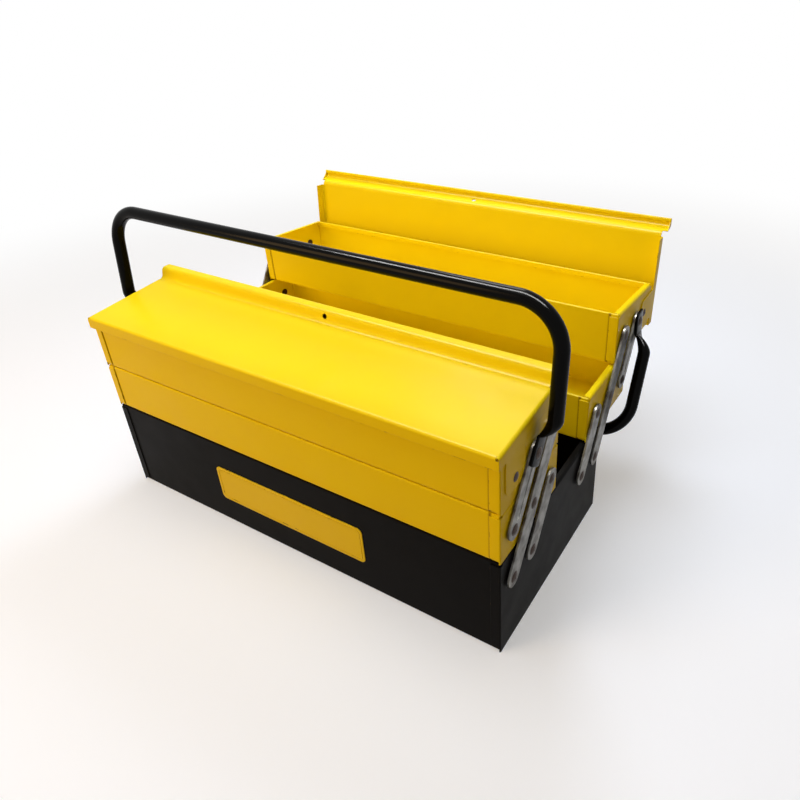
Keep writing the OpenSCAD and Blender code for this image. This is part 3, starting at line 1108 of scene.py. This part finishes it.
@dataclass(frozen=True)
class Studio:
    """White table and backdrop, soft lamps and the camera."""

    camera_mm: tuple[float, float, float] = (395.4, -422.2, 493.3)
    camera_turn_deg: tuple[float, float, float] = (59.756, 2.134, 31.394)
    lens_mm: float = 30.86
    sensor_mm: float = 36.0
    shift: tuple[float, float] = (-0.065, -0.0551)
    sight_mm: tuple[float, float] = (10.0, 100000.0)
    # a warm, dim room
    room_light: float = 0.3
    room_tint: str = "#FFE0B6"
    # table: the paper as seen, what it throws back on the box, and its own glow
    table_mm: float = 12000.0
    table_paper: str = "#CED9EC"
    table_bounce: str = "#8C7B62"
    table_glow: float = 0.35
    # distances from the middle between which the paper fades into the backdrop
    fade_mm: tuple[float, float] = (450.0, 1300.0)
    lamps: tuple[SoftBox, ...] = (
        SoftBox(
            name="overhead_lamp",
            place_mm=(-120, -80, 1450),
            target_mm=(0, 20, 100),
            size_mm=(900, 900),
            watts=9.4,
        ),
        # its mirror image lies on the lid's right end
        SoftBox(
            name="sheen_lamp",
            place_mm=(-170, 560, 900),
            target_mm=(200, -90, 208),
            size_mm=(300, 300),
            watts=3.5,
        ),
        SoftBox(
            name="front_lamp",
            place_mm=(-900, -1300, 650),
            target_mm=(0, 0, 120),
            size_mm=(800, 800),
            watts=13.6,
            tint="#FFD08F",
        ),
        # long highlight on the handle's grip
        SoftBox(
            name="streak_lamp",
            place_mm=(0, -60, 1300),
            target_mm=(0, -20, 290),
            size_mm=(1500, 150),
            watts=110,
            gloss_only=True,
        ),
    )

    def build(self) -> None:
        """Sets up the whole studio."""
        for lamp in self.lamps:
            lamp.hang()
        self.light_room()
        self.lay_table()
        self.place_camera()
        bpy.context.scene.view_settings.view_transform = "Standard"

    def light_room(self) -> None:
        """Gives the room an even light, and a white backdrop to the camera and in gloss."""
        world = bpy.data.worlds.new("studio")
        world.use_nodes = True
        bpy.context.scene.world = world
        tree = world.node_tree
        tree.nodes.clear()
        seen = self.seen_directly(tree)
        red, green, blue, _ = linear(self.room_tint)
        room = (self.room_light * red, self.room_light * green, self.room_light * blue, 1.0)
        colour = add_node(
            tree,
            "ShaderNodeMix",
            {"data_type": "RGBA"},
            {MIX_FACTOR: seen, MIX_A: room, MIX_B: WHITE},
        )
        shade = add_node(
            tree,
            "ShaderNodeBackground",
            inputs={"Color": colour.outputs[MIX_RESULT], "Strength": 1.0},
        )
        add_node(tree, "ShaderNodeOutputWorld", inputs={"Surface": shade.outputs[0]})

    def seen_directly(self, tree: bpy.types.NodeTree) -> bpy.types.NodeSocket:
        """Adds nodes that give 1 to the camera, gloss and glass, and 0 to diffuse light.

        Args:
            tree: Node tree that the nodes go into.

        Returns:
            Socket with that value.
        """
        ray = add_node(tree, "ShaderNodeLightPath")
        mirrored = add_node(
            tree,
            "ShaderNodeMath",
            {"operation": "MAXIMUM"},
            {0: ray.outputs["Is Glossy Ray"], 1: ray.outputs["Is Transmission Ray"]},
        )
        seen = add_node(
            tree,
            "ShaderNodeMath",
            {"operation": "MAXIMUM"},
            {0: ray.outputs["Is Camera Ray"], 1: mirrored.outputs[0]},
        )
        return seen.outputs[0]

    def lay_table(self) -> None:
        """Lays the white table, whose shading fades into the backdrop."""
        material, tree = new_material("white_table")
        place = add_node(tree, "ShaderNodeNewGeometry").outputs["Position"]
        reach = add_node(tree, "ShaderNodeVectorMath", {"operation": "LENGTH"}, {0: place})
        near_mm, far_mm = self.fade_mm
        fade = add_node(
            tree,
            "ShaderNodeMapRange",
            {"interpolation_type": "SMOOTHSTEP"},
            {
                "Value": reach.outputs["Value"],
                "From Min": near_mm * MM,
                "From Max": far_mm * MM,
            },
        )
        paper = add_node(
            tree, "ShaderNodeBsdfDiffuse", inputs={"Color": linear(self.table_paper)}
        )
        bounce = add_node(
            tree, "ShaderNodeBsdfDiffuse", inputs={"Color": linear(self.table_bounce)}
        )
        glow = add_node(
            tree, "ShaderNodeEmission", inputs={"Color": WHITE, "Strength": self.table_glow}
        )
        near = add_node(
            tree, "ShaderNodeAddShader", inputs={0: paper.outputs[0], 1: glow.outputs[0]}
        )
        white = add_node(tree, "ShaderNodeEmission", inputs={"Color": WHITE, "Strength": 1.0})
        shown = add_node(
            tree,
            "ShaderNodeMixShader",
            inputs={0: fade.outputs[0], 1: near.outputs[0], 2: white.outputs[0]},
        )
        surface = add_node(
            tree,
            "ShaderNodeMixShader",
            inputs={0: self.seen_directly(tree), 1: bounce.outputs[0], 2: shown.outputs[0]},
        )
        add_node(tree, "ShaderNodeOutputMaterial", inputs={"Surface": surface.outputs[0]})
        half = self.table_mm * MM / 2
        mesh = bpy.data.meshes.new("table")
        outline = [(-half, -half, 0.0), (half, -half, 0.0), (half, half, 0.0), (-half, half, 0.0)]
        mesh.from_pydata(outline, [], [(0, 1, 2, 3)])
        table = bpy.data.objects.new("table", mesh)
        table.data.materials.append(material)
        bpy.context.scene.collection.objects.link(table)

    def place_camera(self) -> None:
        """Places the camera."""
        camera = bpy.data.cameras.new("camera")
        camera.lens = self.lens_mm
        camera.sensor_width = self.sensor_mm
        camera.shift_x, camera.shift_y = self.shift
        camera.clip_start, camera.clip_end = (reach * MM for reach in self.sight_mm)
        holder = bpy.data.objects.new("camera", camera)
        holder.location = Vector(self.camera_mm) * MM
        holder.rotation_euler = Euler([math.radians(a) for a in self.camera_turn_deg], "XYZ")
        bpy.context.scene.collection.objects.link(holder)
        bpy.context.scene.camera = holder


def main() -> None:
    """Loads the frame, dresses each part of the box and sets up the studio."""
    logging.basicConfig(level=logging.INFO, format="%(name)s: %(message)s")
    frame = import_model()
    finishes = Finishes.mix()
    nodes = frame["nodes"]
    BaseBox(nodes, finishes).build()
    NamePlate(nodes, finishes).build()
    for side in Side:
        CantileverSide(nodes, finishes, side=side).build()
    TubeHandle(nodes, finishes).build()
    TubeHandle(
        nodes, finishes, side=Side.REAR, pivot_mm=(180.381, 176.297), turn_deg=-204.5
    ).build()
    Studio().build()


if __name__ == "__main__":
    main()
